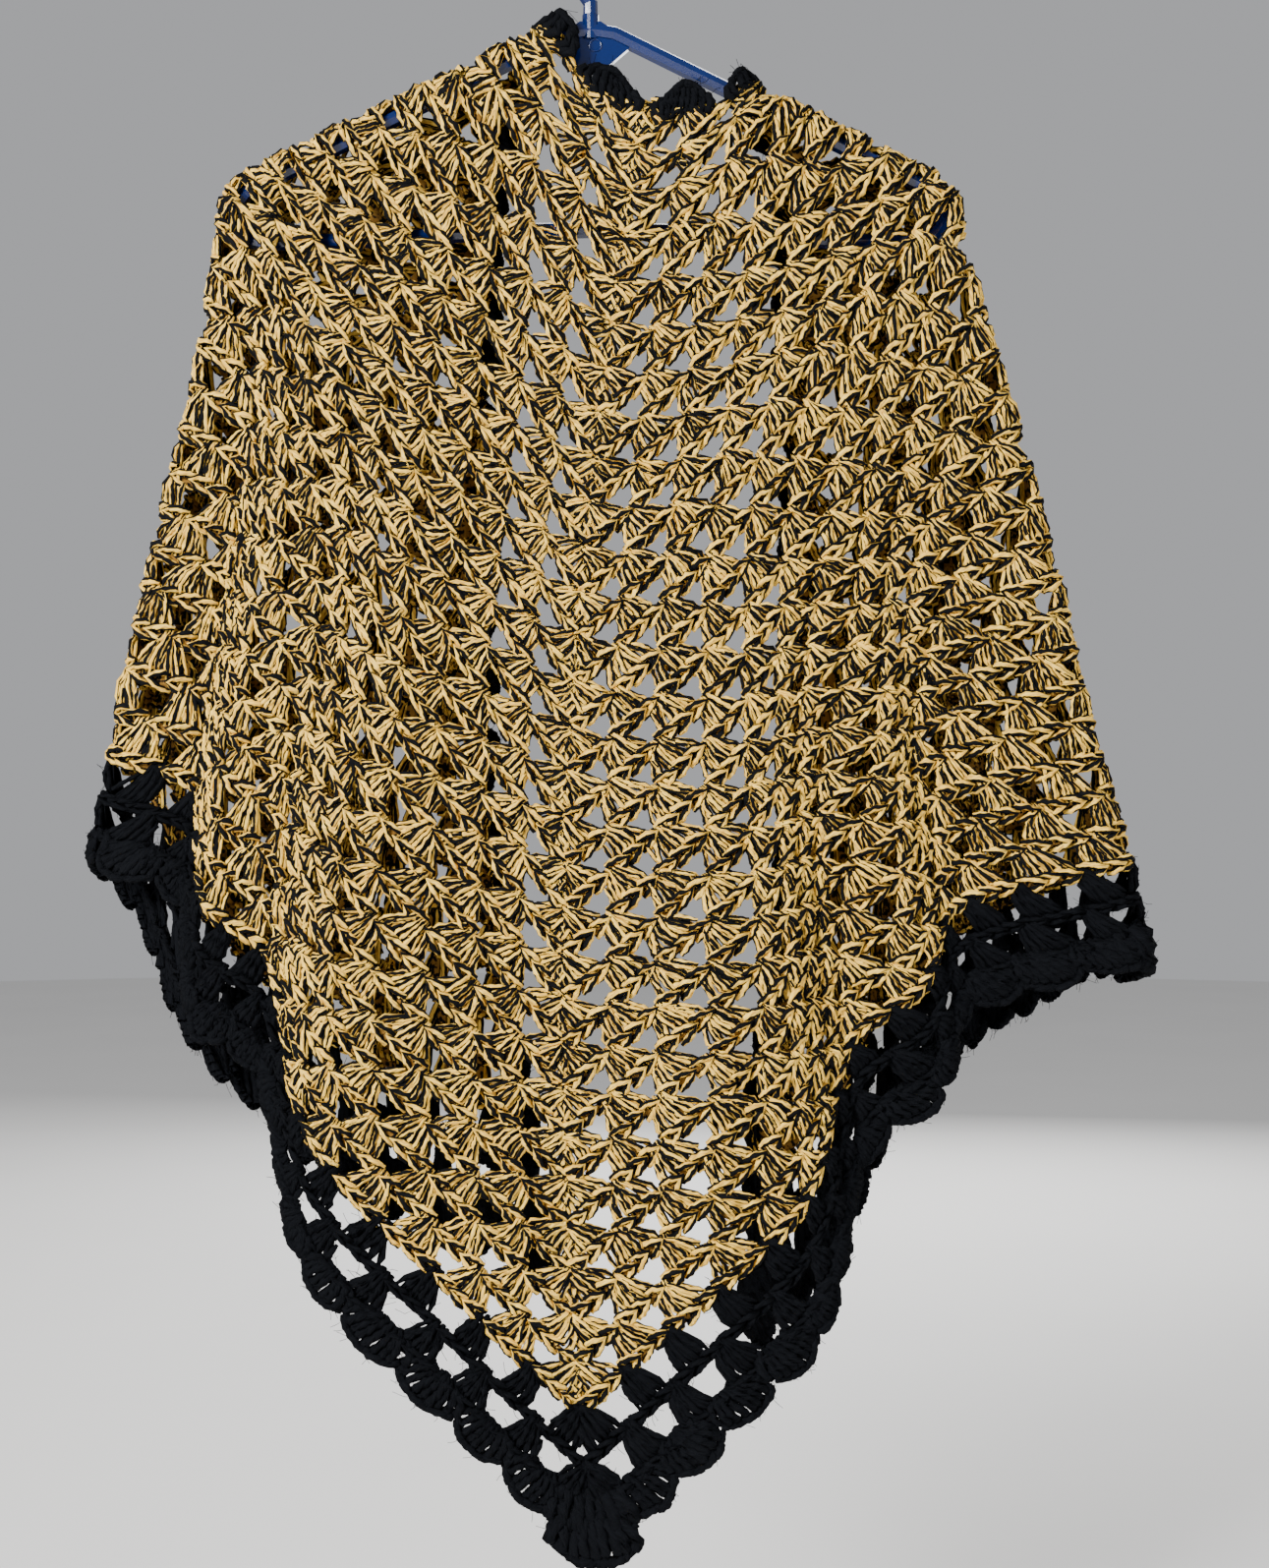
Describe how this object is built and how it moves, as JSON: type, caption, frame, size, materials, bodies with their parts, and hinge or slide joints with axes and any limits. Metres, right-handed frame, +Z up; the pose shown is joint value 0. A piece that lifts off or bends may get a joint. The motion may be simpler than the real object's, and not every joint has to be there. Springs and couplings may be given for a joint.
{
  "type": "crocheted triangle shawl on a tubular clothes hanger",
  "caption": "A crocheted triangle shawl in marled yarn with an openwork border and scalloped edges, draped over a tubular clothes hanger so that its point hangs at the back and its wings at the front.",
  "frame": {"origin": "the point under the top of the hanger's hook, where a rail carries it", "axes": "+Z up, +X to the right as the shawl's back is faced, +Y from the shawl's back towards its open front and its wings"},
  "size_m": [0.6246, 0.1027, 0.9898],
  "materials": {
    "marled_yarn": "matte plied yarn, golden plies with a black ply, worked in open groups of stitches",
    "black_yarn": "matte, slightly fuzzy black yarn",
    "blue_plastic": "smooth deep blue moulded tube"
  },
  "bodies": {
    "root": {"back_panel": "marled_yarn", "wing_left": "marled_yarn", "wing_right": "marled_yarn", "border_back_left": "black_yarn", "border_back_right": "black_yarn", "border_wing_left": "black_yarn", "border_wing_right": "black_yarn", "shells_back": "black_yarn", "shells_wing_left": "black_yarn", "shells_wing_right": "black_yarn", "neck_edging": "black_yarn", "front_edging_left": "black_yarn", "front_edging_right": "black_yarn", "hanger_frame": "blue_plastic", "hanger_hook": "blue_plastic"}
  },
  "joints": []
}
